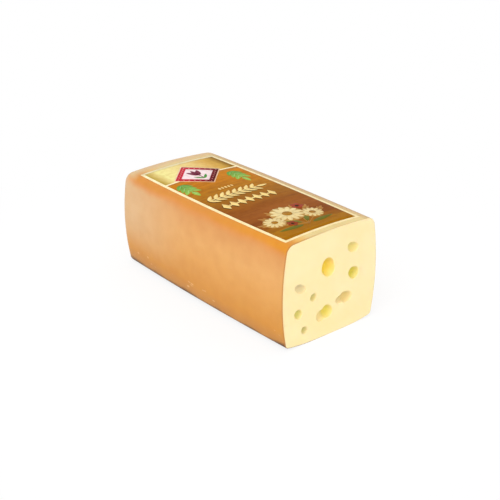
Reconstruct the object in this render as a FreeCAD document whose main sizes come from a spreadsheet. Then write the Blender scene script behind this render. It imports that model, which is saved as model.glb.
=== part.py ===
"""Loaf of smoked Edam: its far end is whole, its near end is cut through, and a printed label lies on its crown.

X runs along the loaf towards the cut face, Y runs across it and Z is up. The origin is on the surface that
the loaf stands on, under the middle of its length. Lengths are millimetres and angles are degrees.
"""

import FreeCAD, Part
import math
import os

import Sketcher

DOCUMENT = "SmokedEdam"
PARTS_FOLDER = "parts"

# Driving sizes: alias in the sheet, value, and what it measures.
SIZES = [
    ("loaf_length", 257.0, "from the whole end to the cut face"),
    ("loaf_width", 113.0, "over the swell of both sides, at either end"),
    ("loaf_height", 102.0, "from the foot to the top of the crown"),
    ("middle_swell", 3.0, "how much further each side stands out at mid-length"),
    ("waist_height", 49.3, "where the sides stand out furthest"),
    ("side_curve", 237.0, "radius of each side, from foot to crown"),
    ("crown_curve", 625.0, "radius of the crown, from side to side"),
    ("foot_flat", 36.0, "width of the flat strip that the loaf stands on"),
    ("foot_curve", 190.0, "radius of the flanks that rise beside that strip"),
    ("end_curve", 1200.0, "radius of the whole end's swell"),
    ("top_round", 8.5, "radius of the long edges beside the crown"),
    ("foot_round", 4.0, "radius of the long edges at the foot"),
    ("end_side_round", 16.0, "radius of the whole end's upright edges"),
    ("end_top_round", 23.0, "radius of the whole end's top edge"),
    ("end_foot_round", 10.0, "radius of the whole end's foot edge"),
    ("label_thickness", 0.2, "of the printed film"),
    ("label_corner", 1.2, "radius of the label's corners"),
    ("label_cut_margin", 7.2, "from the cut face to the label"),
    ("label_far_margin", 8.8, "from the whole end's top rounding to the label"),
    ("label_right_margin", 10.0, "from the loaf's widest line on the -Y side to the label"),
    ("label_left_margin", 16.3, "from the loaf's widest line on the +Y side to the label"),
]

# Gas eyes that the knife opened. Each one's mouth is placed across the cut face as a share of half the width
# and up it as a share of the height. Then come half the mouth's width, half its height, how deep the hollow
# goes, and how far the mouth is turned.
EYE_FIELDS = ("across", "up", "half_width", "half_height", "depth", "turn")
EYES = {
    "upper_right": (0.460, 0.765, 6.6, 4.5, 3.2, -24.0),
    "middle": (-0.062, 0.657, 7.2, 9.2, 8.0, 10.0),
    "right": (0.493, 0.515, 6.0, 5.7, 5.4, -30.0),
    "left": (-0.634, 0.549, 7.0, 3.8, 2.4, -25.0),
    "pip": (-0.361, 0.422, 3.4, 3.5, 2.4, 20.0),
    "lower_right": (0.317, 0.302, 7.4, 5.2, 4.2, -14.0),
    "lower_right_lobe": (0.194, 0.304, 3.4, 4.2, 2.8, 0.0),
    "bottom": (-0.070, 0.235, 6.0, 6.8, 5.4, 30.0),
    "bottom_lobe": (-0.194, 0.216, 4.9, 5.6, 3.2, 10.0),
    "lower_left": (-0.669, 0.314, 4.0, 4.6, 3.4, 15.0),
    "foot": (-0.537, 0.137, 3.4, 3.5, 2.6, 0.0),
}

SPARE = 6.0  # how far the sides run on past the crown and the foot that trim them
BLANK_DEPTH = 30.0  # how far the label's blank reaches down past the crown
FAR = "-Sizes.loaf_length / 2"
CUT = "Sizes.loaf_length / 2"
CROWN_CENTRE = "Sizes.crown_curve - Sizes.loaf_height"  # how far below the foot the crown is centred
HALF_MIDDLE = "(Sizes.loaf_width / 2 + Sizes.middle_swell)"  # half the loaf's width at mid-length
PLAN_CURVE = "(Sizes.loaf_length ^ 2 / 4 + Sizes.middle_swell ^ 2) / (2 * Sizes.middle_swell)"  # seen from above
START, END, CENTRE = 1, 2, 3  # points of a sketch's line or arc
ORIGIN = (-1, START)  # a sketch's own origin
UPRIGHT_AXIS = -2  # a sketch's own upright axis
ACROSS, LEVEL = "YZ_Plane", "XY_Plane"  # origin planes of a body


def make_sheet(doc):
    """Writes every driving size in a cell of its own, under its alias."""
    sheet = doc.addObject("Spreadsheet::Sheet", "Sizes")
    rows = list(SIZES)
    for eye, values in EYES.items():
        rows += [(f"eye_{eye}_{field}", value, "") for field, value in zip(EYE_FIELDS, values)]
    for row, (alias, value, note) in enumerate(rows, start=1):
        sheet.set(f"A{row}", alias)
        sheet.set(f"B{row}", str(value))
        sheet.set(f"C{row}", note)
        sheet.setAlias(f"B{row}", alias)
    doc.recompute()


def number(doc, expression):
    """What an alias or an expression over the sheet comes to, as a plain number."""
    result = doc.Sizes.evalExpression(expression)
    return float(getattr(result, "Value", result))


def plane_sketch(body, name, role, station):
    """Empty sketch in a body, at a distance from one of its origin planes."""
    sketch = body.newObject("Sketcher::SketchObject", name)
    plane = next(item for item in body.Origin.OriginFeatures if item.Role == role)
    sketch.AttachmentSupport = (plane, [""])
    sketch.MapMode = "FlatFace"
    sketch.setExpression("AttachmentOffset.Base.z", station)
    return sketch


def relate(sketch, relations):
    """Adds constraints that have no value."""
    for kind, *elements in relations:
        sketch.addConstraint(Sketcher.Constraint(kind, *elements))


def drive(sketch, name, expression, kind, *elements):
    """Adds a constraint that takes its value from the sheet."""
    value = number(sketch.Document, expression)
    index = sketch.addConstraint(Sketcher.Constraint(kind, *elements, value))
    sketch.renameConstraint(index, name)
    sketch.setExpression(f"Constraints.{name}", expression)


def point_on(centre, radius, across, above=True):
    """Point of a circle at a distance across, above its centre or below it."""
    rise = math.sqrt(radius**2 - (across - centre.x) ** 2)
    return FreeCAD.Vector(across, centre.y + (rise if above else -rise))


def arc_between(centre, start, end):
    """Arc that turns left about a centre, from one point to another."""
    circle = Part.Circle(centre, FreeCAD.Vector(0, 0, 1), (start - centre).Length)
    bearings = [math.atan2(point.y - centre.y, point.x - centre.x) for point in (start, end)]
    return Part.ArcOfCircle(circle, *bearings)


def mirrored(point):
    """The same point on the other side of the upright axis."""
    return FreeCAD.Vector(-point.x, point.y)


def add_side_section(body, name, station, swell, grow):
    """Outline between the two curved sides at a station, with spare height below and above the loaf."""
    doc = body.Document
    side_centre = f"Sizes.side_curve - (Sizes.loaf_width / 2 + {swell})"
    side_radius = f"Sizes.side_curve + {grow}"
    roof_height = f"Sizes.loaf_height + {SPARE}"
    radius = number(doc, side_radius)
    roof = number(doc, roof_height)
    centre = FreeCAD.Vector(-number(doc, side_centre), number(doc, "waist_height"))

    def side_point(height):
        return FreeCAD.Vector(centre.x + math.sqrt(radius**2 - (height - centre.y) ** 2), height)

    low, high = side_point(-SPARE), side_point(roof)
    sketch = plane_sketch(body, name, ACROSS, station)
    outline = [
        Part.LineSegment(mirrored(low), low),
        arc_between(centre, low, high),
        Part.LineSegment(high, mirrored(high)),
        arc_between(mirrored(centre), mirrored(high), mirrored(low)),
    ]
    floor, right, top, left = sketch.addGeometry(outline, False)
    relations = [
        ("Coincident", floor, END, right, START),
        ("Coincident", right, END, top, START),
        ("Coincident", top, END, left, START),
        ("Coincident", left, END, floor, START),
        ("Horizontal", floor),
        ("Horizontal", top),
        ("Symmetric", right, CENTRE, left, CENTRE, UPRIGHT_AXIS),
        ("Equal", right, left),
    ]
    relate(sketch, relations)
    drive(sketch, "side_radius", side_radius, "Radius", right)
    drive(sketch, "side_centre", side_centre, "DistanceX", right, CENTRE, *ORIGIN)
    drive(sketch, "waist", "Sizes.waist_height", "DistanceY", *ORIGIN, right, CENTRE)
    drive(sketch, "roof", roof_height, "DistanceY", *ORIGIN, top, START)
    drive(sketch, "floor", str(SPARE), "DistanceY", floor, START, *ORIGIN)
    return sketch


def make_sides(doc, name, grow):
    """Block between the sides, which swell both upwards and along the loaf."""
    body = doc.addObject("PartDesign::Body", f"{name}Sides")
    sections = [
        add_side_section(body, f"{name}FarSection", FAR, "0", grow),
        add_side_section(body, f"{name}MiddleSection", "0", "Sizes.middle_swell", grow),
        add_side_section(body, f"{name}CutSection", CUT, "0", grow),
    ]
    doc.recompute()
    loft = body.newObject("PartDesign::AdditiveLoft", f"{name}SideLoft")
    loft.Profile = sections[0]
    loft.Sections = sections[1:]
    doc.recompute()
    return body


def make_bar(doc, name, grow):
    """Bar as long as the loaf and wider than it, with the loaf's crown above and its foot below."""
    body = doc.addObject("PartDesign::Body", f"{name}Bar")
    crown_size = f"Sizes.crown_curve + {grow}"
    crown_radius = number(doc, crown_size)
    crown = FreeCAD.Vector(0, -number(doc, CROWN_CENTRE))
    flank_radius = number(doc, "foot_curve")
    flat = FreeCAD.Vector(number(doc, "foot_flat") / 2, 0)
    flank = flat + FreeCAD.Vector(0, flank_radius)
    reach_size = "Sizes.loaf_width / 2 + 2 * Sizes.middle_swell"
    reach = number(doc, reach_size)
    low, high = point_on(flank, flank_radius, reach, above=False), point_on(crown, crown_radius, reach)

    sketch = plane_sketch(body, f"{name}BarOutline", ACROSS, FAR)
    outline = [
        Part.LineSegment(mirrored(flat), flat),
        arc_between(flank, flat, low),
        Part.LineSegment(low, high),
        arc_between(crown, high, mirrored(high)),
        Part.LineSegment(mirrored(high), mirrored(low)),
        arc_between(mirrored(flank), mirrored(low), mirrored(flat)),
    ]
    foot, right_flank, right, arch, left, left_flank = sketch.addGeometry(outline, False)
    relations = [
        ("Tangent", foot, END, right_flank, START),
        ("Coincident", right_flank, END, right, START),
        ("Coincident", right, END, arch, START),
        ("Coincident", arch, END, left, START),
        ("Coincident", left, END, left_flank, START),
        ("Tangent", left_flank, END, foot, START),
        ("Horizontal", foot),
        ("Vertical", right),
        ("Vertical", left),
        ("Symmetric", foot, START, foot, END, *ORIGIN),
        ("Equal", right_flank, left_flank),
        ("PointOnObject", arch, CENTRE, UPRIGHT_AXIS),
    ]
    relate(sketch, relations)
    drive(sketch, "foot_flat", "Sizes.foot_flat", "DistanceX", foot, START, foot, END)
    drive(sketch, "flank_radius", "Sizes.foot_curve", "Radius", right_flank)
    drive(sketch, "crown_radius", crown_size, "Radius", arch)
    drive(sketch, "crown_centre", CROWN_CENTRE, "DistanceY", arch, CENTRE, *ORIGIN)
    drive(sketch, "right_reach", reach_size, "DistanceX", *ORIGIN, right, START)
    drive(sketch, "left_reach", reach_size, "DistanceX", left, START, *ORIGIN)
    doc.recompute()
    bar = body.newObject("PartDesign::Pad", f"{name}BarPad")
    bar.Profile = sketch
    bar.setExpression("Length", "Sizes.loaf_length")
    doc.recompute()
    return body


def make_end_dome(doc):
    """Ball that gives the whole end its shallow swell."""
    dome = doc.addObject("Part::Sphere", "EndDome")
    dome.setExpression("Radius", "Sizes.end_curve")
    dome.setExpression("Placement.Base.x", f"{FAR} + Sizes.end_curve")
    dome.setExpression("Placement.Base.z", "Sizes.waist_height")
    return dome


def shared(doc, name, shapes):
    """What several shapes have in common."""
    common = doc.addObject("Part::MultiCommon", name)
    common.Shapes = shapes
    doc.recompute()
    return common


def name_faces(doc, shape):
    """Sorts the block's faces by where they look: crown, foot, left, right, end and cut."""
    middle = number(doc, "waist_height")
    named = {name: [] for name in ("crown", "foot", "left", "right", "end", "cut")}
    for face in shape.Faces:
        u_low, u_high, v_low, v_high = face.ParameterRange
        normal = face.normalAt((u_low + u_high) / 2, (v_low + v_high) / 2)
        if abs(normal.z) > max(abs(normal.x), abs(normal.y)):
            named["crown" if face.CenterOfMass.z > middle else "foot"].append(face)
        elif abs(normal.y) > abs(normal.x):
            named["left" if face.CenterOfMass.y > 0 else "right"].append(face)
        else:
            named["cut" if face.CenterOfMass.x > 0 else "end"].append(face)
    return named


def round_edges(doc, name, block, rounds):
    """Rounds each edge between two named sides of a block by its own radius."""
    faces = name_faces(doc, block.Shape)

    def borders(edge, side):
        return any(edge.isSame(rim) for face in faces[side] for rim in face.Edges)

    edges = []
    for one, other, size in rounds:
        radius = number(doc, size)
        for index, edge in enumerate(block.Shape.Edges, start=1):
            if borders(edge, one) and borders(edge, other):
                edges.append((index, radius, radius))
    rounded = doc.addObject("Part::Fillet", name)
    rounded.Base = block
    rounded.Edges = edges
    doc.recompute()
    return rounded


def make_loaf(doc):
    """Loaf with all its edges rounded but those of the cut face, and with no eyes yet."""
    shapes = [make_sides(doc, "Loaf", "0"), make_bar(doc, "Loaf", "0"), make_end_dome(doc)]
    block = shared(doc, "LoafBlock", shapes)
    rounds = [
        ("crown", "left", "top_round"),
        ("crown", "right", "top_round"),
        ("foot", "left", "foot_round"),
        ("foot", "right", "foot_round"),
        ("end", "left", "end_side_round"),
        ("end", "right", "end_side_round"),
        ("end", "crown", "end_top_round"),
        ("end", "foot", "end_foot_round"),
    ]
    return round_edges(doc, "Loaf", block, rounds)


def open_eyes(doc, loaf):
    """Hollows the gas eyes out of the cut face."""
    hollows = []
    for eye in EYES:
        cell = f"Sizes.eye_{eye}_"
        hollow = doc.addObject("Part::Ellipsoid", f"Eye_{eye}")
        hollow.setExpression("Radius1", cell + "half_height")
        hollow.setExpression("Radius2", cell + "depth")
        hollow.setExpression("Radius3", cell + "half_width")
        hollow.Placement.Rotation.Axis = FreeCAD.Vector(1, 0, 0)
        hollow.setExpression("Placement.Rotation.Angle", cell + "turn")
        hollow.setExpression("Placement.Base.x", CUT)
        hollow.setExpression("Placement.Base.y", f"{cell}across * Sizes.loaf_width / 2")
        hollow.setExpression("Placement.Base.z", f"{cell}up * Sizes.loaf_height")
        hollows.append(hollow)
    opened = doc.addObject("Part::MultiFuse", "Eyes")
    opened.Shapes = hollows
    cheese = doc.addObject("Part::Cut", "Cheese")
    cheese.Base = loaf
    cheese.Tool = opened
    doc.recompute()
    return cheese


def make_label_blank(doc):
    """Upright block with the label's outline, whose long edges bow as the loaf's sides do."""
    body = doc.addObject("PartDesign::Body", "LabelBody")
    far_size = f"{FAR} + Sizes.end_top_round + Sizes.label_far_margin"
    near_size = f"{CUT} - Sizes.label_cut_margin"
    right_size = f"{PLAN_CURVE} - ({HALF_MIDDLE} - Sizes.label_right_margin)"
    left_size = f"{PLAN_CURVE} - ({HALF_MIDDLE} - Sizes.label_left_margin)"
    radius, far, near = number(doc, PLAN_CURVE), number(doc, far_size), number(doc, near_size)
    right_centre = FreeCAD.Vector(0, number(doc, right_size))
    left_centre = FreeCAD.Vector(0, -number(doc, left_size))
    right_far, right_near = (point_on(right_centre, radius, place, above=False) for place in (far, near))
    left_far, left_near = (point_on(left_centre, radius, place) for place in (far, near))

    sketch = plane_sketch(body, "LabelOutline", LEVEL, f"Sizes.loaf_height - {BLANK_DEPTH}")
    outline = [
        arc_between(right_centre, right_far, right_near),
        Part.LineSegment(right_near, left_near),
        arc_between(left_centre, left_near, left_far),
        Part.LineSegment(left_far, right_far),
    ]
    right, cut_side, left, far_side = sketch.addGeometry(outline, False)
    relations = [
        ("Coincident", right, END, cut_side, START),
        ("Coincident", cut_side, END, left, START),
        ("Coincident", left, END, far_side, START),
        ("Coincident", far_side, END, right, START),
        ("Vertical", cut_side),
        ("Vertical", far_side),
        ("PointOnObject", right, CENTRE, UPRIGHT_AXIS),
        ("PointOnObject", left, CENTRE, UPRIGHT_AXIS),
        ("Equal", right, left),
    ]
    relate(sketch, relations)
    drive(sketch, "side_radius", PLAN_CURVE, "Radius", right)
    drive(sketch, "right_centre", right_size, "DistanceY", *ORIGIN, right, CENTRE)
    drive(sketch, "left_centre", left_size, "DistanceY", left, CENTRE, *ORIGIN)
    drive(sketch, "near", near_size, "DistanceX", *ORIGIN, cut_side, START)
    drive(sketch, "far", f"-({far_size})", "DistanceX", far_side, START, *ORIGIN)
    doc.recompute()
    blank = body.newObject("PartDesign::Pad", "LabelBlank")
    blank.Profile = sketch
    blank.setExpression("Length", f"{BLANK_DEPTH + SPARE}")
    doc.recompute()

    corner = number(doc, "label_corner")
    upright = [
        index
        for index, edge in enumerate(body.Shape.Edges, start=1)
        if abs(edge.Vertexes[-1].Z - edge.Vertexes[0].Z) > BLANK_DEPTH
    ]
    rounded = doc.addObject("Part::Fillet", "LabelRounded")
    rounded.Base = body
    rounded.Edges = [(index, corner, corner) for index in upright]
    doc.recompute()
    return rounded


def make_label(doc, loaf):
    """Film that follows the crown and the long edges beside it, all of one thickness."""
    grow = "Sizes.label_thickness"
    skin_block = shared(doc, "SkinBlock", [make_sides(doc, "Skin", grow), make_bar(doc, "Skin", grow)])
    rounds = [("crown", side, f"Sizes.top_round + {grow}") for side in ("left", "right")]
    skin = round_edges(doc, "Skin", skin_block, rounds)
    covered = shared(doc, "CoveredCrown", [make_label_blank(doc), skin])
    label = doc.addObject("Part::Cut", "Label")
    label.Base = covered
    label.Tool = loaf
    doc.recompute()
    return label


def check(doc, parts):
    """Stops the build if an object failed or a part isn't one valid solid."""
    failed = [item.Name for item in doc.Objects if {"Invalid", "Error"} & set(item.State)]
    if failed:
        raise RuntimeError(f"these objects failed to build: {failed}")
    for part in parts:
        shape = part.Shape
        if shape.isNull() or not shape.isValid() or len(shape.Solids) != 1 or shape.Volume <= 0:
            raise RuntimeError(f"{part.Label} isn't one valid solid")


def main():
    doc = FreeCAD.newDocument(DOCUMENT)
    make_sheet(doc)
    loaf = make_loaf(doc)
    cheese = open_eyes(doc, loaf)
    cheese.Label = "cheese"
    label = make_label(doc, loaf)
    label.Label = "label"
    parts = [cheese, label]
    check(doc, parts)
    os.makedirs(PARTS_FOLDER, exist_ok=True)
    for part in parts:
        part.Shape.exportStep(os.path.join(PARTS_FOLDER, f"{part.Label}.step"))


main()
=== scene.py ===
"""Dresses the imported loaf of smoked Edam: its rind, its cut face with the gas eyes, and its printed label.

X runs along the loaf towards the cut face, Y across it and Z up, in metres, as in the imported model.
"""

import math

import bmesh
import bpy
from bpy.props import FloatProperty, FloatVectorProperty, PointerProperty
from mathutils import Matrix, Vector, noise


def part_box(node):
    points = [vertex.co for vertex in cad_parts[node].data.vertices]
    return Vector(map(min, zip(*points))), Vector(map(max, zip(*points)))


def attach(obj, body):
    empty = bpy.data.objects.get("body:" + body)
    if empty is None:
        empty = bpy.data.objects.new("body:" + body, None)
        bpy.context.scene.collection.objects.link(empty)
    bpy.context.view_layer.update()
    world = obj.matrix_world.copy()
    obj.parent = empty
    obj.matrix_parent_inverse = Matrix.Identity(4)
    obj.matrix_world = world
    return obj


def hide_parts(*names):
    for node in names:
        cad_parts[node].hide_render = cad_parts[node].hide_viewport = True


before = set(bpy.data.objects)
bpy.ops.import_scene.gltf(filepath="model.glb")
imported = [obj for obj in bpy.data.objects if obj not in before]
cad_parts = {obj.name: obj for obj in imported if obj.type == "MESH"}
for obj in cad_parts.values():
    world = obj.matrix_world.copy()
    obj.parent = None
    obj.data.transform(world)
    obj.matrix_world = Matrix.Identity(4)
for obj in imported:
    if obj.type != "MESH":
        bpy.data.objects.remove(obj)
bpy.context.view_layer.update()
LOAF_LOW, LOAF_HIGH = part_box("cheese")
LABEL_LOW, LABEL_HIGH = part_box("label")

bl_info = {
    "name": "Smoked cheese loaf",
    "version": (1, 0, 0),
    "blender": (4, 5, 0),
    "location": "3D View > Sidebar > Cheese",
    "description": "Makes a cut loaf of smoked Edam with its label, and a plain stage for it",
    "category": "Add Mesh",
}

MM = 0.001
BODY = "root"


def linear(hex_colour):
    """Turns an sRGB hex colour, such as E8A865, into linear red, green, blue and alpha."""
    channels = [int(hex_colour[place : place + 2], 16) / 255 for place in (0, 2, 4)]
    toned = [c / 12.92 if c <= 0.04045 else ((c + 0.055) / 1.055) ** 2.4 for c in channels]
    return (*toned, 1.0)


def length(millimetres, name, description):
    """A size that the sidebar shows as a length."""
    metres = millimetres * MM
    return FloatProperty(name=name, description=description, default=metres, unit="LENGTH", precision=5)


def colour(hex_colour, name, description):
    """A colour that the sidebar shows as a swatch."""
    shade = linear(hex_colour)
    return FloatVectorProperty(
        name=name, description=description, default=shade, size=4, subtype="COLOR", min=0.0, max=1.0
    )


class LoafSizes(bpy.types.PropertyGroup):
    """Sizes of the loaf."""

    length: length((LOAF_HIGH.x - LOAF_LOW.x) / MM, "Length", "From the whole end to the cut face")
    width: length((LOAF_HIGH.y - LOAF_LOW.y) / MM, "Width", "Over both sides at mid-length")
    height: length((LOAF_HIGH.z - LOAF_LOW.z) / MM, "Height", "From the foot to the top of the crown")
    middle_swell: length(3.0, "Swell", "How much further each side stands out at mid-length than at the ends")
    waist: length(49.3, "Waist", "Height at which the sides stand out furthest")
    side_curve: length(237.0, "Side curve", "Radius of each side, from foot to crown")
    crown_curve: length(625.0, "Crown curve", "Radius of the crown, from side to side")
    foot_flat: length(36.0, "Foot flat", "Width of the flat strip that the loaf stands on")
    foot_curve: length(190.0, "Foot curve", "Radius of the flanks beside that strip")
    end_curve: length(1200.0, "End curve", "Radius of the whole end's swell")
    top_round: length(8.5, "Top round", "Radius of the long edges beside the crown")
    foot_round: length(4.0, "Foot round", "Radius of the long edges at the foot")
    end_side_round: length(16.0, "End side round", "Radius of the whole end's upright edges")
    end_top_round: length(23.0, "End top round", "Radius of the whole end's top edge")
    end_foot_round: length(10.0, "End foot round", "Radius of the whole end's foot edge")
    rind: length(0.4, "Rind", "Thickness of the smoked rind where the knife went through it")
    lip: length(0.3, "Lip", "Radius that the knife left on the rind's outer edge")
    recess: length(12.0, "Recess", "How deep the paste is set into the rind, past the deepest eye")
    dents: length(0.4, "Dents", "How far the soft dents of the sides go in at most")
    grid: length(2.0, "Grid", "Spacing of the surface's vertices along the loaf")


class LoafColours(bpy.types.PropertyGroup):
    """Colours of the rind and the paste."""

    # Partly the rind's own dark edge at the foot, partly painted shadow where the loaf meets the floor.
    dark_rind_and_contact_shadow: colour("5C3A18", "Foot line", "Rind that the loaf's weight pressed dark round the foot")
    foot: colour("C5883F", "Foot", "Smoked rind just above that line")
    low: colour("D39037", "Low", "Smoked rind low on the sides")
    side: colour("DD9F54", "Side", "Smoked rind half-way up")
    shoulder: colour("E0A662", "Shoulder", "Smoked rind two thirds of the way up")
    neck: colour("D99A5A", "Neck", "Smoked rind under the long edges")
    edge: colour("D99049", "Edge", "Orange of the long edge on the -Y side")
    golden_edge: colour("D38B37", "Golden edge", "Deeper orange of that edge, seen from above")
    near_gold: colour("DC9018", "Near gold", "That edge towards the cut")
    golden_crown: colour("E8B052", "Golden crown", "Crown beside that edge")
    crown: colour("E4CB89", "Crown", "Rind on the crown, round the label")
    beige_edge: colour("C49D6D", "Beige edge", "Long edge on the +Y side, seen from above")
    far_crown: colour("D9B787", "Far crown", "Rind beside the label's far edge")
    # Painted sheen: a paler tone towards the whole end that stands in for the film's reflection there.
    pale: colour("DAB98F", "Pale", "Paler rind towards the whole end")
    # Painted glint on the film's small folds.
    fold: colour("F4CC94", "Fold", "Film that stands off the rind in small folds")
    # Painted shade where the side turns into the cut face.
    painted_cut_edge_shade: colour("B98247", "Knife line", "Rind that the knife dried at the cut")
    paste: colour("FFE9B5", "Paste", "Inside of the cheese")


class LabelSizes(bpy.types.PropertyGroup):
    """Sizes of the label and its print."""

    film: length(0.10, "Film", "How far the label's film stands off the crown")
    ink: length(0.016, "Ink", "How far each layer of print stands above the one below it")
    corner: length(1.2, "Corner", "Radius of the label's corners")
    border: length(3.1, "Border", "Width of the cream border")
    stripe: length(2.6, "Stripe", "Width of the cream stripe across the label")
    stripe_place: length(42.3, "Stripe place", "From the label's far edge to the middle of that stripe")
    grid_along: length(6.0, "Grid along", "Longest piece of print that is laid on the crown in one facet")
    grid_across: length(1.5, "Grid across", "Widest piece of print that is laid on the crown in one facet")


class LabelColours(bpy.types.PropertyGroup):
    """Colours of the label's print."""

    cream: colour("FFF3C8", "Cream", "Border and stripe")
    pale_gold: colour("F2E89A", "Pale gold", "Middle of the far panel")
    dull_gold: colour("966E1C", "Dull gold", "Corners of the far panel")
    amber: colour("D08412", "Amber", "Far end of the main panel")
    chestnut: colour("985612", "Chestnut", "Middle of the main panel")
    ochre: colour("AC720C", "Ochre", "Near end of the main panel")
    ornament: colour("FFE49A", "Ornament", "Pale gold of the friezes")
    shadow: colour("5C3A10", "Shadow", "Dark edge beside the friezes")
    crimson: colour("C8283C", "Crimson", "Bright side of the medallion")
    maroon: colour("5E0C16", "Maroon", "Dark side of the medallion")
    blush: colour("FBEAEC", "Blush", "Middle of the medallion")
    leaf: colour("9CC654", "Leaf", "Fresh green")
    leaf_dark: colour("4A9440", "Leaf shade", "Dark green")
    wheat: colour("C08A48", "Wheat", "Ears of wheat")
    poppy: colour("A8452C", "Poppy", "Poppies")
    olive: colour("838338", "Olive", "Leaves of the bouquet")


class StageSettings(bpy.types.PropertyGroup):
    """Settings of the stage."""

    floor: length(8000.0, "Floor", "Side of the floor")
    shadow_near: length(200.0, "Shadow near", "From the loaf's middle to where its shadow starts to fade")
    shadow_far: length(400.0, "Shadow far", "From the loaf's middle to where its shadow ends")
    shadow: FloatProperty(name="Shadow", description="Share of the shadow that the floor shows", default=0.16)
    world: FloatProperty(name="World", description="Strength of the light from all round", default=0.78)
    key: FloatProperty(name="Key", description="Power of the large lamp", default=35.0, unit="POWER")


# ---------------------------------------------------------------------------------------------------------
# The loaf's surface

LONG_WAVE = 85 * MM  # from one soft dent of the surface to the next
SHORT_WAVE = 24 * MM  # and between the smaller dents of the sides
SHORT_SHIFT = Vector((7.0, 3.0, 5.0))  # which keeps the two kinds of dent apart


def crossing(first, first_radius, second, second_radius, way):
    """The one of two circles' crossings that lies furthest in a direction."""
    between = second - first
    distance = between.length
    along = (first_radius**2 - second_radius**2 + distance**2) / (2 * distance)
    aside = math.sqrt(first_radius**2 - along**2)
    unit = between / distance
    foot = first + unit * along
    across = Vector((-unit.y, unit.x)) * aside
    return max((foot + across, foot - across), key=lambda point: point.dot(way))


class Section:
    """Half of the loaf's outline at a place along it: arcs that meet smoothly, from foot to crown."""

    STEPS = (9, 16, 7, 44, 10, 26)  # vertices along the flat, flank, foot round, side, top round and crown

    def __init__(self, sizes, half_width, foot, crown):
        flank = Vector((sizes.foot_flat / 2, foot + sizes.foot_curve))
        side = Vector((half_width - sizes.side_curve, sizes.waist))
        roof = Vector((0, crown - sizes.crown_curve))
        foot_round, top_round = sizes.foot_round, sizes.top_round
        foot_curve, side_curve, crown_curve = sizes.foot_curve, sizes.side_curve, sizes.crown_curve
        low = crossing(flank, foot_curve - foot_round, side, side_curve - foot_round, Vector((1, -1)))
        high = crossing(side, side_curve - top_round, roof, crown_curve - top_round, Vector((1, 1)))
        centres = [flank, low, side, high, roof]
        radii = [foot_curve, foot_round, side_curve, top_round, crown_curve]
        joins = [low - flank, low - side, high - side, high - roof]
        bearings = [-math.pi / 2, *(math.atan2(way.y, way.x) for way in joins), math.pi / 2]
        self.arcs = list(zip(centres, radii, bearings, bearings[1:]))
        self.flat = Vector((sizes.foot_flat / 2, foot))

    def half(self):
        """Points from the middle of the foot to the middle of the crown, each with its bearing outwards."""
        down = -math.pi / 2
        steps = self.STEPS[0]
        points = [(Vector((self.flat.x * step / steps, self.flat.y)), down) for step in range(steps)]
        for (centre, radius, start, end), steps in zip(self.arcs, self.STEPS[1:]):
            for step in range(steps):
                bearing = start + (end - start) * step / steps
                points.append((centre + radius * Vector((math.cos(bearing), math.sin(bearing))), bearing))
        centre, radius, _, end = self.arcs[-1]
        points.append((centre + Vector((0, radius)), end))
        return points

    def ring(self):
        """The whole outline, once round: (across, up) and the bearing outwards."""
        half = self.half()
        other = [(Vector((-point.x, point.y)), math.pi - bearing) for point, bearing in half[-2:0:-1]]
        return half + other

    def roof_height(self, across):
        """Height of the crown, or of the long edge beside it, at a distance across."""
        edge, crown = self.arcs[3:]
        centre, radius, start, _ = crown
        if abs(across) > centre.x + radius * math.cos(start):
            centre, radius = edge[:2]
        return centre.y + math.sqrt(radius**2 - (abs(across) - centre.x) ** 2)


def fallen(radius, depth):
    """How far a rounding has fallen in at a depth from the end that it rounds."""
    return radius - math.sqrt(radius**2 - (radius - depth) ** 2) if depth < radius else 0.0


def section_at(sizes, x):
    """The loaf's outline at a place along it."""
    half_length = sizes.length / 2
    share = min(abs(x) / half_length, 1.0)
    half_width = sizes.width / 2 - sizes.middle_swell * share**2
    depth = max(x + half_length, 0.0)
    side = half_width - fallen(sizes.end_side_round, depth)
    foot = fallen(sizes.end_foot_round, depth)
    return Section(sizes, side, foot, sizes.height - fallen(sizes.end_top_round, depth))


def dent(sizes, x, y, z, bearing):
    """How far the surface goes in at a place: long soft waves, and shorter ones on the sides alone."""
    place = Vector((x, y, z))
    sideways = math.cos(bearing) ** 2
    long_wave = 0.5 + 0.5 * noise.noise(place / LONG_WAVE)
    short_wave = 0.5 + 0.5 * noise.noise(place / SHORT_WAVE + SHORT_SHIFT)
    return sizes.dents * (long_wave * (0.25 + 0.5 * sideways) + 0.25 * short_wave * sideways)


def skin_ring(sizes, x, inset=0.0):
    """Ring of surface points at a place along the loaf, moved in by its dents and by an inset."""
    half_length = sizes.length / 2
    turning = max(0.0, 1.0 - (x + half_length) / sizes.end_top_round)
    points = []
    for point, bearing in section_at(sizes, x).ring():
        depth = dent(sizes, x, point.x, point.y, bearing)
        moved = point - Vector((math.cos(bearing), math.sin(bearing))) * (inset + depth * (1 - turning))
        dome = (point.x**2 + (point.y - sizes.waist) ** 2) / (2 * sizes.end_curve)
        points.append(Vector((x + (dome + depth) * turning, moved.x, moved.y)))
    return points


def end_ring(sizes, share):
    """Ring of the whole end's face, drawn in towards its middle to a share of its size."""
    middle = Vector((0, sizes.waist))
    points = []
    for point, _ in section_at(sizes, -sizes.length / 2).ring():
        drawn = middle + (point - middle) * share
        depth = dent(sizes, -sizes.length / 2, drawn.x, drawn.y, -math.pi / 2)
        dome = (drawn - middle).length_squared / (2 * sizes.end_curve)
        points.append(Vector((-sizes.length / 2 + dome + depth, drawn.x, drawn.y)))
    return points


def crown_height(sizes, x, y):
    """Height of the loaf's top at a place under the label."""
    height = section_at(sizes, x).roof_height(y)
    return height - dent(sizes, x, y, height, math.pi / 2)


# ---------------------------------------------------------------------------------------------------------
# Making meshes


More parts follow.
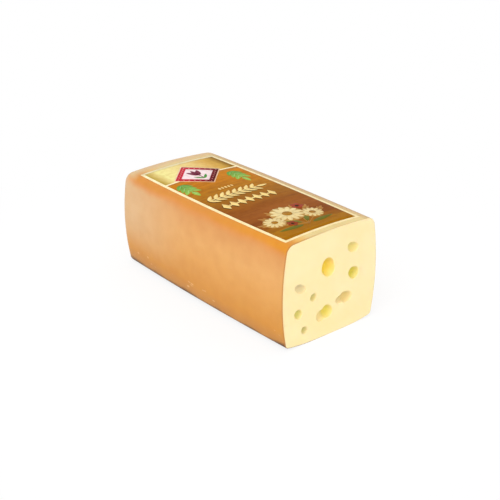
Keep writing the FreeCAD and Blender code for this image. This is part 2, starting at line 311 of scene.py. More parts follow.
def first_ring(bm, points):
    """Closed ring of vertices on the points given."""
    ring = bmesh.ops.create_circle(bm, segments=len(points), radius=1.0)["verts"]
    for vertex, point in zip(ring, points):
        vertex.co = point
    return ring


def ring_edges(bm, ring):
    """Edges between the vertices of a closed ring."""
    return [bm.edges.get(pair) for pair in zip(ring, ring[1:] + ring[:1])]


def next_ring(bm, ring, points):
    """Extrudes a closed ring once, and puts the new ring on the points given."""
    made = bmesh.ops.extrude_edge_only(bm, edges=ring_edges(bm, ring))["geom"]
    fresh = {part for part in made if isinstance(part, bmesh.types.BMVert)}
    grown = []
    for vertex, point in zip(ring, points):
        ends = (edge.other_vert(vertex) for edge in vertex.link_edges)
        partner = next(end for end in ends if end in fresh)
        partner.co = point
        grown.append(partner)
    return grown


def close_ring(bm, ring):
    """Draws a ring together into one point."""
    middle = sum((vertex.co for vertex in ring), Vector()) / len(ring)
    bmesh.ops.pointmerge(bm, verts=ring, merge_co=middle)


def finish_piece(bm, name, material, replaces=()):
    """Makes the object of a finished mesh, and says what it rides on and what it replaces."""
    mesh = bpy.data.meshes.new(name)
    bm.to_mesh(mesh)
    bm.free()
    mesh.shade_smooth()
    piece = bpy.data.objects.new(name, mesh)
    bpy.context.scene.collection.objects.link(piece)
    mesh.materials.append(material)
    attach(piece, BODY)
    if replaces:
        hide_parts(*replaces)
    return piece


# ---------------------------------------------------------------------------------------------------------
# Materials

MIX_FACTOR, MIX_A, MIX_B, MIX_RESULT = 0, 6, 7, 2  # sockets of a colour mix
BLEND = {"data_type": "RGBA"}  # a mix of two colours
DARKEN = {"data_type": "RGBA", "blend_type": "MULTIPLY"}  # a mix that multiplies them
EASED = {"interpolation_type": "SMOOTHSTEP"}  # a range with soft ends


def start_material(name, finish):
    """New material with one surface shader, set to a finish."""
    material = bpy.data.materials.new(name)
    material.use_nodes = True
    tree = material.node_tree
    surface = tree.nodes["Principled BSDF"]
    for socket, value in finish.items():
        surface.inputs[socket].default_value = value
    return material, tree, surface


def add(tree, kind, settings=None, inputs=None):
    """Adds a node with its settings, and with its inputs set or linked."""
    node = tree.nodes.new(kind)
    for name, value in (settings or {}).items():
        if name == "stops":
            ramp = node.color_ramp.elements
            while len(ramp) < len(value):
                ramp.new(0.5)
            for element, (position, shade) in zip(ramp, value):
                element.position = position
                element.color = shade
        else:
            setattr(node, name, value)
    for socket, value in (inputs or {}).items():
        if isinstance(value, bpy.types.NodeSocket):
            tree.links.new(value, node.inputs[socket])
        else:
            node.inputs[socket].default_value = value
    return node


def clouded(tree, place, shade, cloud, detail=3.0, roughness=0.5, share=1.0):
    """A colour that soft clouds dim, as much as share says.

    cloud holds their spacing, the noise where they are darkest and where they end, and their darkest tone.
    """
    spacing, low, high, darkest = cloud
    sockets = {"Vector": place, "Scale": 1 / spacing, "Detail": detail, "Roughness": roughness}
    thickness = add(tree, "ShaderNodeTexNoise", inputs=sockets).outputs["Fac"]
    stops = [(low, linear(darkest)), (high, linear("FFFFFF"))]
    tones = add(tree, "ShaderNodeValToRGB", {"stops": stops}, {"Fac": thickness}).outputs["Color"]
    sockets = {MIX_FACTOR: share, MIX_A: shade, MIX_B: tones}
    return add(tree, "ShaderNodeMix", DARKEN, sockets).outputs[MIX_RESULT]


def relief(tree, place, layers):
    """Fine relief in layers of grain: each has its spacing, its scale across, its depth and its strength."""
    normal = None
    for spacing, across, depth, strength in layers:
        drawn = add(tree, "ShaderNodeMapping", inputs={"Vector": place, "Scale": (1.0, across, 1.0)})
        sockets = {"Vector": drawn.outputs["Vector"], "Scale": 1 / spacing, "Detail": 2.0}
        grain = add(tree, "ShaderNodeTexNoise", inputs=sockets).outputs["Fac"]
        sockets = {"Strength": strength, "Distance": depth, "Height": grain}
        if normal is not None:
            sockets["Normal"] = normal
        normal = add(tree, "ShaderNodeBump", inputs=sockets).outputs["Normal"]
    return normal


def rind_material(sizes, colours):
    """Smoked rind under clear film: satin, a little translucent, tan low down, orange at the long edges."""
    finish = {
        "Roughness": 0.45,
        "IOR": 1.46,
        "Specular IOR Level": 0.25,
        "Subsurface Weight": 0.12,
        "Subsurface Radius": (1.0, 0.45, 0.18),
        "Subsurface Scale": 1.2 * MM,
        "Coat Weight": 0.05,
        "Coat Roughness": 0.25,
    }
    material, tree, surface = start_material("smoked_rind_under_film", finish)
    place = add(tree, "ShaderNodeTexCoord").outputs["Object"]
    x, y, z = add(tree, "ShaderNodeSeparateXYZ", inputs={"Vector": place}).outputs
    long, wide = sizes.length, sizes.width
    cut = long / 2

    # Smoke took unevenly, so the bands of colour up the sides wave a little.
    waves = add(tree, "ShaderNodeTexNoise", inputs={"Vector": place, "Scale": 1 / (40 * MM), "Detail": 2.0})
    sockets = {"Value": waves.outputs["Fac"], "From Min": 0.3, "From Max": 0.7}
    bend = add(tree, "ShaderNodeMapRange", inputs={**sockets, "To Min": -2 * MM, "To Max": 2 * MM}).outputs[0]
    level = add(tree, "ShaderNodeMath", {"operation": "ADD"}, {0: z, 1: bend}).outputs[0]
    # The lowest band is painted contact shadow along the foot, over the rind's own darker edge there.
    bands = [
        (0.00, colours.dark_rind_and_contact_shadow),
        (0.04, colours.dark_rind_and_contact_shadow),
        (0.08, colours.foot),
        (0.20, colours.low),
        (0.49, colours.side),
        (0.66, colours.shoulder),
        (0.86, colours.neck),
    ]
    strips = [
        (0.06, colours.golden_edge),
        (0.13, colours.golden_edge),
        (0.19, colours.golden_crown),
        (0.30, colours.crown),
        (0.82, colours.crown),
        (0.90, colours.beige_edge),
    ]
    ramps = []
    for value, start, end, stops in ((level, 0.0, sizes.height, bands), (y, -wide / 2, wide / 2, strips)):
        share = add(tree, "ShaderNodeMapRange", inputs={"Value": value, "From Min": start, "From Max": end})
        ramp = add(tree, "ShaderNodeValToRGB", {"stops": stops}, {"Fac": share.outputs[0]})
        ramps.append(ramp.outputs["Color"])
    shade, top = ramps

    # Film that stands off the rind in small folds, in a band above the foot; their pale colour is painted
    # glint.
    long_place = add(tree, "ShaderNodeMapping", inputs={"Vector": place, "Scale": (0.45, 0.45, 1.0)})
    sockets = {"Vector": long_place.outputs["Vector"], "Scale": 1 / (4 * MM), "Detail": 1.0}
    folds = add(tree, "ShaderNodeTexNoise", inputs=sockets).outputs["Fac"]

    # Layers over the sides' colour: the most that shows of each, and the values that it depends on, each with
    # the place where nothing of it shows and the place where the most does. A thin line beside the cut is
    # painted shade where the side turns into the cut face; where the knife came out, paste smeared over it.
    shares = {}
    for name, layer, most, *limits in (
        # Painted sheen towards the whole end.
        ("far", colours.pale, 0.75, (x, long * 0.05, -cut), (level, 14 * MM, 56 * MM)),
        (
            "edge",
            colours.edge,
            1.0,
            (level, 86 * MM, 95 * MM),
            (y, wide * 0.1, -wide * 0.3),
            (x, -long * 0.47, -long * 0.37),
        ),
        ("top", top, 1.0, (level, 92.5 * MM, 98 * MM)),
        (
            "near",
            colours.near_gold,
            0.7,
            (level, 91 * MM, 97 * MM),
            (y, -wide * 0.30, -wide * 0.42),
            (x, 0.0, long * 0.45),
        ),
        ("far_top", colours.far_crown, 1.0, (level, 92.5 * MM, 98 * MM), (x, -long * 0.36, -long * 0.42)),
        ("fold", colours.fold, 0.5, (folds, 0.70, 0.77), (level, 5 * MM, 9 * MM), (level, 26 * MM, 17 * MM)),
        # Painted shade along the edge of the cut.
        ("knife", colours.painted_cut_edge_shade, 0.6, (x, cut - 1.8 * MM, cut - 0.6 * MM)),
        ("smear", colours.paste, 1.0, (x, cut - 0.9 * MM, cut - 0.4 * MM), (y, -wide * 0.30, wide * 0.10)),
    ):
        share = most
        for value, nothing, full in limits:
            sockets = {"Value": value, "From Min": nothing, "From Max": full}
            eased = add(tree, "ShaderNodeMapRange", EASED, sockets).outputs[0]
            share = add(tree, "ShaderNodeMath", {"operation": "MULTIPLY"}, {0: share, 1: eased}).outputs[0]
        sockets = {MIX_FACTOR: share, MIX_A: shade, MIX_B: layer}
        shade = add(tree, "ShaderNodeMix", BLEND, sockets).outputs[MIX_RESULT]
        shares[name] = share

    # The tone drifts over a thumb's breadth.
    drifting = clouded(tree, place, shade, (15 * MM, 0.32, 0.62, "FAF6F1"))
    tree.links.new(drifting, surface.inputs["Base Color"])

    # Fine pores of the rind, the film's slight looseness over them, and its folds.
    normal = relief(tree, place, ((12 * MM, 1.0, 0.20 * MM, 0.3), (1.6 * MM, 1.0, 0.05 * MM, 0.25)))
    raised = {"Strength": 0.4, "Distance": 0.3 * MM, "Height": shares["fold"], "Normal": normal}
    tree.links.new(add(tree, "ShaderNodeBump", inputs=raised).outputs["Normal"], surface.inputs["Normal"])
    return material


def paste_material(colours):
    """Edam paste that a knife went through: pale, waxy, translucent; the eyes hold warmer painted light."""
    finish = {
        "Roughness": 0.5,
        "IOR": 1.45,
        "Specular IOR Level": 0.35,
        "Subsurface Weight": 0.30,
        "Subsurface Radius": (1.0, 0.75, 0.40),
        "Subsurface Scale": 2.0 * MM,
    }
    material, tree, surface = start_material("semi_hard_cheese_paste", finish)
    place = add(tree, "ShaderNodeTexCoord").outputs["Object"]
    body = clouded(tree, place, colours.paste, (24 * MM, 0.35, 0.65, "FDFBF4"), detail=2.0)
    # The eyes' painted light is mixed in by how far into an eye each point lies.
    hollow = add(tree, "ShaderNodeAttribute", {"attribute_name": "eye"}).outputs["Fac"]
    tint = add(tree, "ShaderNodeAttribute", {"attribute_name": "tint"}).outputs["Color"]
    sockets = {MIX_FACTOR: hollow, MIX_A: body, MIX_B: tint}
    coloured = add(tree, "ShaderNodeMix", BLEND, sockets).outputs[MIX_RESULT]
    tree.links.new(coloured, surface.inputs["Base Color"])

    # Eyes are glossier than the cut, which shows the knife's drag as faint level lines, and the curd's grain.
    gloss = add(tree, "ShaderNodeMapRange", inputs={"Value": hollow, "To Min": 0.5, "To Max": 0.34})
    tree.links.new(gloss.outputs[0], surface.inputs["Roughness"])
    normal = relief(tree, place, ((1.8 * MM, 0.06, 0.10 * MM, 0.15), (0.9 * MM, 1.0, 0.08 * MM, 0.15)))
    tree.links.new(normal, surface.inputs["Normal"])
    return material


def print_material(name, stops, way=(1.0, 0.0, 0.0), streaks=0.0):
    """Ink on silky film, in colours that run into each other, each at its own distance along a direction."""
    finish = {"Roughness": 0.42, "IOR": 1.49, "Specular IOR Level": 0.02}
    material, tree, surface = start_material(name, finish)
    place = add(tree, "ShaderNodeTexCoord").outputs["Object"]
    along = add(tree, "ShaderNodeVectorMath", {"operation": "DOT_PRODUCT"}, {0: place, 1: way})
    start, end = stops[0][0], stops[-1][0]
    sockets = {"Value": along.outputs["Value"], "From Min": start * MM, "From Max": end * MM}
    share = add(tree, "ShaderNodeMapRange", inputs=sockets).outputs[0]
    inks = [(distance, linear(ink) if isinstance(ink, str) else ink) for distance, ink in stops]
    shares = [((distance - start) / (end - start), ink) for distance, ink in inks]
    shade = add(tree, "ShaderNodeValToRGB", {"stops": shares}, {"Fac": share}).outputs["Color"]

    # Ink lies unevenly: in soft clouds everywhere, and in long streaks, like those of planed wood, if asked.
    turn = (0.0, 0.0, math.radians(12))
    for spacing, across, darkest, most in ((6 * MM, 1.0, "F4EEE6", 1.0), (5 * MM, 0.1, "9A8070", streaks)):
        sockets = {"Vector": place, "Rotation": turn, "Scale": (1.0, across, 1.0)}
        drawn = add(tree, "ShaderNodeMapping", inputs=sockets).outputs["Vector"]
        shade = clouded(tree, drawn, shade, (spacing, 0.35, 0.62, darkest), roughness=0.6, share=most)
    tree.links.new(shade, surface.inputs["Base Color"])
    ripples = relief(tree, place, ((11 * MM, 1.0, 0.3 * MM, 0.25),))
    tree.links.new(ripples, surface.inputs["Normal"])
    return material


# ---------------------------------------------------------------------------------------------------------
# Rind and paste

# Gas eyes that the knife opened, each a list of lobes. A lobe has its place across the cut as a share of half
# the width and up it as a share of the height, half its mouth's width and half its height in millimetres, its
# depth in millimetres, its turn in degrees, and the colour painted inside it for the light that it holds.
EYES = [
    [(0.460, 0.765, 6.6, 4.5, 3.2, -24.0, "EEDA84")],
    [(-0.062, 0.657, 7.2, 9.2, 8.0, 10.0, "FBDC52")],
    [(0.493, 0.515, 6.0, 5.7, 5.4, -30.0, "E3D455")],
    [(-0.634, 0.549, 7.0, 3.8, 2.4, -25.0, "E6D19B")],
    [(-0.361, 0.422, 3.4, 3.5, 2.4, 20.0, "D7C77E")],
    [(0.335, 0.305, 7.4, 5.3, 4.2, -23.0, "EACF84"), (0.194, 0.300, 4.2, 3.8, 2.8, -10.0, "E6D094")],
    [(-0.070, 0.235, 6.0, 6.8, 5.4, 30.0, "EEDC62"), (-0.194, 0.216, 4.9, 5.6, 3.2, 10.0, "F0D692")],
    [(-0.669, 0.314, 4.0, 4.6, 3.4, 15.0, "DFD376")],
    [(-0.537, 0.137, 3.4, 3.5, 2.6, 0.0, "D3C57F")],
]
EYE_STEPS = 56  # vertices round an eye
EYE_TOP_PAINTED_SHADE = Vector((0.70, 0.74, 0.80, 1.0))  # painted shade: what the cheese above leaves of each colour at an eye's top
RIM = 0.9 * MM  # radius of the rounding round an eye's mouth
WAVES = ((2, 0.035, 1.0), (3, 0.03, 2.3), (5, 0.012, 1.7))  # waves round a mouth: how many, how high, shift

# Rings of an eye, each with how much of the colour painted for the eye's light it has: on the cut, by how
# many rims they are from its mouth, and down its rim and its floor, by how far the surface has turned, in
# degrees.
CUT_RINGS = ((2.0, 0.0), (1.0, 0.06))
RIM_RINGS = ((30, 0.15), (60, 0.30), (82, 0.42))
FLOOR_RINGS = ((14, 0.50), (26, 0.62), (38, 0.78), (50, 0.90), (60, 1.0), (69, 1.0), (77, 1.0), (84, 1.0))

LIP_TURNS = (0, 30, 60, 90)  # how far each ring has turned round the rind's lip at the cut, in degrees
END_STEPS = 16  # rings round the whole end's edge
CAP_STEPS = 22  # rings from there to its middle
GROOVE = 0.1 * MM  # radius of the paste's edge beside the rind
GROOVE_TURNS = (0, 45, 90)  # how far each ring has turned round that edge


def eye_lobes(sizes, lobes):
    """An eye's lobes in metres: centre, half sizes, depth, turn and colour; the first is the main one."""
    half_width = sizes.width / 2 - sizes.middle_swell
    made = []
    for across, up, wide, high, depth, turn, shade in lobes:
        centre = Vector((across * half_width, up * sizes.height))
        made.append((centre, wide * MM, high * MM, depth * MM, math.radians(turn), Vector(linear(shade))))
    return made


def lobe_radius(lobe, origin, way):
    """How far a ray from a point runs before it leaves a lobe for good; 0 if it misses the lobe."""
    centre, wide, high, _, turn, _ = lobe
    turned = Matrix.Rotation(-turn, 2)
    start = turned @ (origin - centre)
    ray = turned @ way
    start = Vector((start.x / wide, start.y / high))
    ray = Vector((ray.x / wide, ray.y / high))
    a, b, c = ray.length_squared, start.dot(ray), start.length_squared - 1
    root = b * b - a * c
    return max((-b + math.sqrt(root)) / a, 0.0) if root > 0 else 0.0


def lobe_share(lobe, point):
    """How far a point of the cut is from a lobe's centre, squared: 0 there and 1 at its mouth."""
    centre, wide, high, _, turn, _ = lobe
    offset = Matrix.Rotation(-turn, 2) @ (point - centre)
    return (offset.x / wide) ** 2 + (offset.y / high) ** 2


def lobe_depth(lobe, point):
    """How deep a lobe is under a point of the cut."""
    return lobe[3] * math.sqrt(max(1 - lobe_share(lobe, point), 0.0))


def painted_eye_light(lobes, point):
    """Painted light in an eye under a point of the cut, blended between lobes; painted shade dims its top."""
    weights = [math.exp(-1.5 * lobe_share(lobe, point)) for lobe in lobes]
    blend = sum((lobe[5] * weight for lobe, weight in zip(lobes, weights)), Vector((0, 0, 0, 0)))
    centre, _, high = lobes[0][:3]
    top = min(max((point.y - centre.y) / high, 0.0), 1.0)
    return Vector((1, 1, 1, 1)).lerp(EYE_TOP_PAINTED_SHADE, top) * blend / sum(weights)


def eye_rings(sizes, lobes, number):
    """Rings of an eye, from the cut round its rim and down its floor, with their share of its painted light.
    """
    centre = lobes[0][0]
    cut = sizes.length / 2
    spokes = []
    for step in range(EYE_STEPS):
        bearing = 2 * math.pi * step / EYE_STEPS
        way = Vector((math.cos(bearing), math.sin(bearing)))
        reach = max(lobe_radius(lobe, centre, way) for lobe in lobes)
        waves = sum(high * math.cos(count * bearing + shift * number) for count, high, shift in WAVES)
        spokes.append((way, reach, 1 + waves))

    # Two lobes meet in a soft waist, not in a notch.
    for _ in range(2):
        reaches = [reach for _, reach, _ in spokes]
        spokes = [
            (way, (reaches[step - 1] + 2 * reach + reaches[(step + 1) % EYE_STEPS]) / 4, uneven)
            for step, (way, reach, uneven) in enumerate(spokes)
        ]
    rings = []
    for outside, share in CUT_RINGS:
        points = [centre + way * (reach * uneven + RIM * outside) for way, reach, uneven in spokes]
        rings.append(([Vector((cut, *point)) for point in points], share))
    for angle, share in RIM_RINGS:
        turn = math.radians(angle)
        out, down = RIM * (1 - math.sin(turn)), RIM * (1 - math.cos(turn))
        points = [centre + way * (reach * uneven + out) for way, reach, uneven in spokes]
        rings.append(([Vector((cut - down, *point)) for point in points], share))
    for angle, share in FLOOR_RINGS:
        inside = math.cos(math.radians(angle))
        points = []
        for way, reach, uneven in spokes:
            depth = max(lobe_depth(lobe, centre + way * reach * inside) for lobe in lobes)
            floor = max(depth - RIM, 0.0) + RIM
            points.append(Vector((cut - floor, *(centre + way * reach * uneven * inside))))
        rings.append((points, share))
    return rings


class CHEESE_OT_rind(bpy.types.Operator):
    """Makes the smoked rind, round the whole end and up to the knife's cut"""

    bl_idname = "cheese.make_rind"
    bl_label = "Rind"

    def execute(self, context):
        sizes = context.scene.loaf_sizes
        half_length = sizes.length / 2
        bm = bmesh.new()
        ring = first_ring(bm, skin_ring(sizes, half_length - sizes.recess, sizes.rind))
        bmesh.ops.contextual_create(bm, geom=ring_edges(bm, ring))
        ring = next_ring(bm, ring, skin_ring(sizes, half_length, sizes.rind))
        mouth = ring_edges(bm, ring)
        for angle in LIP_TURNS:
            turn = math.radians(angle)
            back, inset = sizes.lip * (1 - math.cos(turn)), sizes.lip * (1 - math.sin(turn))
            ring = next_ring(bm, ring, skin_ring(sizes, half_length - back, inset))
        start, end = half_length - sizes.lip, -half_length + sizes.end_top_round
        steps = round((start - end) / sizes.grid)
        for step in range(1, steps):
            ring = next_ring(bm, ring, skin_ring(sizes, start + (end - start) * step / steps))
        for step in range(END_STEPS + 1):
            depth = sizes.end_top_round * (1 - math.sin(math.pi / 2 * step / END_STEPS))
            ring = next_ring(bm, ring, skin_ring(sizes, -half_length + depth))
        for step in range(1, CAP_STEPS):
            ring = next_ring(bm, ring, end_ring(sizes, 1 - step / CAP_STEPS))
        close_ring(bm, ring)
        bmesh.ops.recalc_face_normals(bm, faces=bm.faces)
        for edge in mouth:
            edge.smooth = False
        rind = rind_material(sizes, context.scene.loaf_colours)
        finish_piece(bm, "rind", rind, ["cheese"])
        return {"FINISHED"}


class CHEESE_OT_paste(bpy.types.Operator):
    """Makes the paste that shows at the cut, with its gas eyes"""

    bl_idname = "cheese.make_paste"
    bl_label = "Paste"

    def execute(self, context):
        sizes = context.scene.loaf_sizes
        cut = sizes.length / 2
        bm = bmesh.new()
        hollow = bm.verts.layers.float.new("eye")
        tint = bm.verts.layers.float_color.new("tint")
        ring = first_ring(bm, skin_ring(sizes, cut - sizes.recess, sizes.rind))
        bmesh.ops.contextual_create(bm, geom=ring_edges(bm, ring))
        for angle in GROOVE_TURNS:
            turn = math.radians(angle)
            back, inset = GROOVE * (1 - math.sin(turn)), GROOVE * (1 - math.cos(turn))
            ring = next_ring(bm, ring, skin_ring(sizes, cut - back, sizes.rind + inset))
        ring = next_ring(bm, ring, skin_ring(sizes, cut, sizes.rind + 3 * GROOVE))
        border = ring_edges(bm, ring)
        for number, eye in enumerate(EYES):
            lobes = eye_lobes(sizes, eye)
            before = set(bm.verts)
            rings = eye_rings(sizes, lobes, number)
            ring = first_ring(bm, rings[0][0])
            border += ring_edges(bm, ring)
            for points, share in rings[1:]:
                ring = next_ring(bm, ring, points)
                for vertex in ring:
                    vertex[hollow] = share
            close_ring(bm, ring)
            for vertex in set(bm.verts) - before:
                vertex[tint] = painted_eye_light(lobes, vertex.co.yz)
        filled = bmesh.ops.triangle_fill(bm, use_beauty=True, edges=border, normal=(1, 0, 0))["geom"]
        self.cut_into_squares(bm, [part for part in filled if isinstance(part, bmesh.types.BMFace)], sizes)
        bmesh.ops.recalc_face_normals(bm, faces=bm.faces)
        paste = paste_material(context.scene.loaf_colours)
        finish_piece(bm, "paste", paste, ["cheese"])
        return {"FINISHED"}

    @staticmethod
    def cut_into_squares(bm, faces, sizes):
        """Divides the cut's long triangles, and gives it the slight hollows that a knife leaves."""
        spacing = 5 * MM
        tolerance = 0.001 * MM
        hollow = 0.12 * MM  # depth of those hollows
        hollow_spacing = 26 * MM
        across, up = Vector((0, 1, 0)), Vector((0, 0, 1))
        for normal, low, high in ((across, -sizes.width / 2, sizes.width / 2), (up, 0, sizes.height)):
            for step in range(1, int((high - low) / spacing)):
                parts = faces + list({edge for face in faces for edge in face.edges})
                parts += list({vertex for face in faces for vertex in face.verts})
                place = normal * (low + spacing * step)
                made = bmesh.ops.bisect_plane(bm, geom=parts, dist=tolerance, plane_co=place, plane_no=normal)
                faces = [part for part in made["geom"] if isinstance(part, bmesh.types.BMFace)]
        cut_faces = set(faces)
        for vertex in {vertex for face in faces for vertex in face.verts}:
            if cut_faces.issuperset(vertex.link_faces):
                place = Vector((0, vertex.co.y, vertex.co.z))
                vertex.co.x -= hollow * (0.5 + 0.5 * noise.noise(place / hollow_spacing))


# ---------------------------------------------------------------------------------------------------------
# Label


class Print:
    """Flat shapes of one ink, placed in millimetres along and across the label.

    They are measured from its far edge and from its middle line.
    """

    MIDDLE = (LABEL_LOW.y + LABEL_HIGH.y) / 2

    def __init__(self):
        self.bm = bmesh.new()

    def place(self, along, across, turn=0.0, wide=1.0, high=1.0):
        """Matrix that sizes, turns and moves a shape made at the origin."""
        spot = Vector((LABEL_LOW.x + along * MM, self.MIDDLE + across * MM, 0))
        size = Matrix.Diagonal((wide * MM, high * MM, 1, 1))
        return Matrix.Translation(spot) @ Matrix.Rotation(math.radians(turn), 4, "Z") @ size

    def disc(self, along, across, wide, high=None, turn=0.0, steps=40):
        """Filled ellipse with these half sizes."""
        matrix = self.place(along, across, turn, wide, high or wide)
        bmesh.ops.create_circle(self.bm, cap_ends=True, segments=steps, radius=1.0, matrix=matrix)
        return self

    def block(self, along, across, wide, high, turn=0.0):
        """Filled rectangle with these whole sizes."""
        matrix = self.place(along, across, turn, wide, high)
        bmesh.ops.create_grid(self.bm, x_segments=1, y_segments=1, size=0.5, matrix=matrix)
        return self

    def diamond(self, along, across, wide, high):
        """Filled diamond with these half sizes."""
        return self.disc(along, across, wide, high, steps=4)

    def leaf(self, along, across, long, wide, turn=0.0, steps=20):
        """Leaf that starts at a place and points away from it, widest a little before its middle."""
        ring = bmesh.ops.create_circle(self.bm, cap_ends=True, segments=steps, radius=1.0)["verts"]
        breadth, stem_end, tip_end = 1.05, 0.6, 0.9  # its breadth, and how fast it narrows at either end
        for vertex in ring:
            share = (1 + vertex.co.x) / 2
            side = math.copysign(breadth, vertex.co.y) if abs(vertex.co.y) > 1e-6 else 0.0
            vertex.co = Vector((share, side * share**stem_end * (1 - share) ** tip_end, 0))
        bmesh.ops.transform(self.bm, matrix=self.place(along, across, turn, long, wide), verts=ring)
        return self

    def sprig(self, along, across, turn, pairs, spacing, long, wide, spread):
        """Straight stem with pairs of leaves that point forwards, and one leaf at its tip."""
        way = Vector((math.cos(math.radians(turn)), math.sin(math.radians(turn))))
        root = Vector((along, across))
        middle = root + way * spacing * pairs / 2
        self.block(*middle, spacing * pairs, wide / 4, turn)
        for step in range(pairs):
            for side in (-1, 1):
                self.leaf(*(root + way * spacing * step), long, wide, turn + side * spread, steps=14)
        return self.leaf(*(root + way * spacing * pairs), long, wide, turn, steps=14)

    def daisy(self, along, across, reach, petals):
        """Ring of oval petals."""
        centre, long, wide = reach * 0.6, reach * 0.4, reach * 2.1 / petals  # a petal's place and half sizes
        for step in range(petals):
            bearing = 2 * math.pi * step / petals
            spot = Vector((along, across)) + Vector((math.cos(bearing), math.sin(bearing))) * centre
            self.disc(*spot, long, wide, math.degrees(bearing), steps=16)
        return self

    def lay(self, context, name, material, layer):
        """Divides the shapes into facets, lays them on the crown as one thin layer, and makes the piece."""
        bm = self.bm
        sizes, label = context.scene.loaf_sizes, context.scene.label_sizes
        tolerance = 0.0001 * MM
        for axis, start, spacing in ((0, LABEL_LOW.x, label.grid_along), (1, LABEL_LOW.y, label.grid_across)):
            normal = Vector((1 - axis, axis, 0))
            reached = [vertex.co[axis] for vertex in bm.verts]
            first, last = (int((edge - start) / spacing) for edge in (min(reached), max(reached)))
            for step in range(first + 1, last + 1):
                parts = bm.verts[:] + bm.edges[:] + bm.faces[:]
                place = normal * (start + spacing * step)
                bmesh.ops.bisect_plane(bm, geom=parts, dist=tolerance, plane_co=place, plane_no=normal)
        bmesh.ops.recalc_face_normals(bm, faces=bm.faces)
        for face in bm.faces:
            if face.normal.z < 0:
                face.normal_flip()

        # The label's long edges bow as the loaf's sides do, and its print bows with them.
        bow = sizes.middle_swell / (LABEL_HIGH.y - self.MIDDLE)
        top = label.film + label.ink * layer
        for vertex in bm.verts:
            share = 2 * vertex.co.x / sizes.length
            vertex.co.y = self.MIDDLE + (vertex.co.y - self.MIDDLE) * (1 - bow * share**2)
            vertex.co.z = crown_height(sizes, vertex.co.x, vertex.co.y) + top
        piece = finish_piece(bm, name, material, ["label"] if layer == 0 else [])
        body = piece.modifiers.new("thickness", "SOLIDIFY")
        body.thickness = label.film if layer == 0 else 2 * label.ink
        body.offset = -1
        return piece


class CHEESE_OT_label_film(bpy.types.Operator):
    """Makes the label's cream film and the two panels printed on it"""

    bl_idname = "cheese.make_label_film"
    bl_label = "Label film and panels"

    def execute(self, context):
        label, colours = context.scene.label_sizes, context.scene.label_colours
        long, wide = (LABEL_HIGH.x - LABEL_LOW.x) / MM, (LABEL_HIGH.y - LABEL_LOW.y) / MM
        border, stripe, stripe_place = label.border / MM, label.stripe / MM, label.stripe_place / MM
        film = Print().block(long / 2, 0, long, wide)
        rounding = {"affect": "VERTICES", "segments": 5, "profile": 0.5, "material": -1}
        bmesh.ops.bevel(film.bm, geom=film.bm.verts[:], offset=label.corner, **rounding)
        cream = print_material("cream_ink", [(-100, colours.cream), (120, "FBE9B6")])
        film.lay(context, "label_film", cream, 0)

        # The far panel's gold runs across the label, and the main panel's browns run along it.
        gold_stops = [
            (-44, "C0A44C"),
            (-38, "E2CA7C"),
            (-33, colours.pale_gold),
            (-18, "F4E49A"),
            (6, "EACC84"),
            (22, "DCB058"),
            (29, "D0A44A"),
            (37, colours.dull_gold),
        ]
        brown_stops = [
            (-54, colours.amber),
            (-28, "CC8010"),
            (-8, "BA7A14"),
            (20, "A66C18"),
            (46, colours.chestnut),
            (60, "A25E20"),
            (80, "8A4A12"),
            (92, "945410"),
            (103, colours.ochre),
        ]
        gold = print_material("gold_ink", gold_stops, (0.0, 1.0, 0.0))
        brown = print_material("amber_to_chestnut_ink", brown_stops, (1.0, -0.1, 0.0), 0.3)
        for name, ink, start, end in (
            ("label_far_panel", gold, border, stripe_place - stripe / 2),
            ("label_main_panel", brown, stripe_place + stripe / 2, long - border),
        ):
            panel = Print().block((start + end) / 2, 0, end - start, wide - 2 * border)
            panel.lay(context, name, ink, 1)
        return {"FINISHED"}


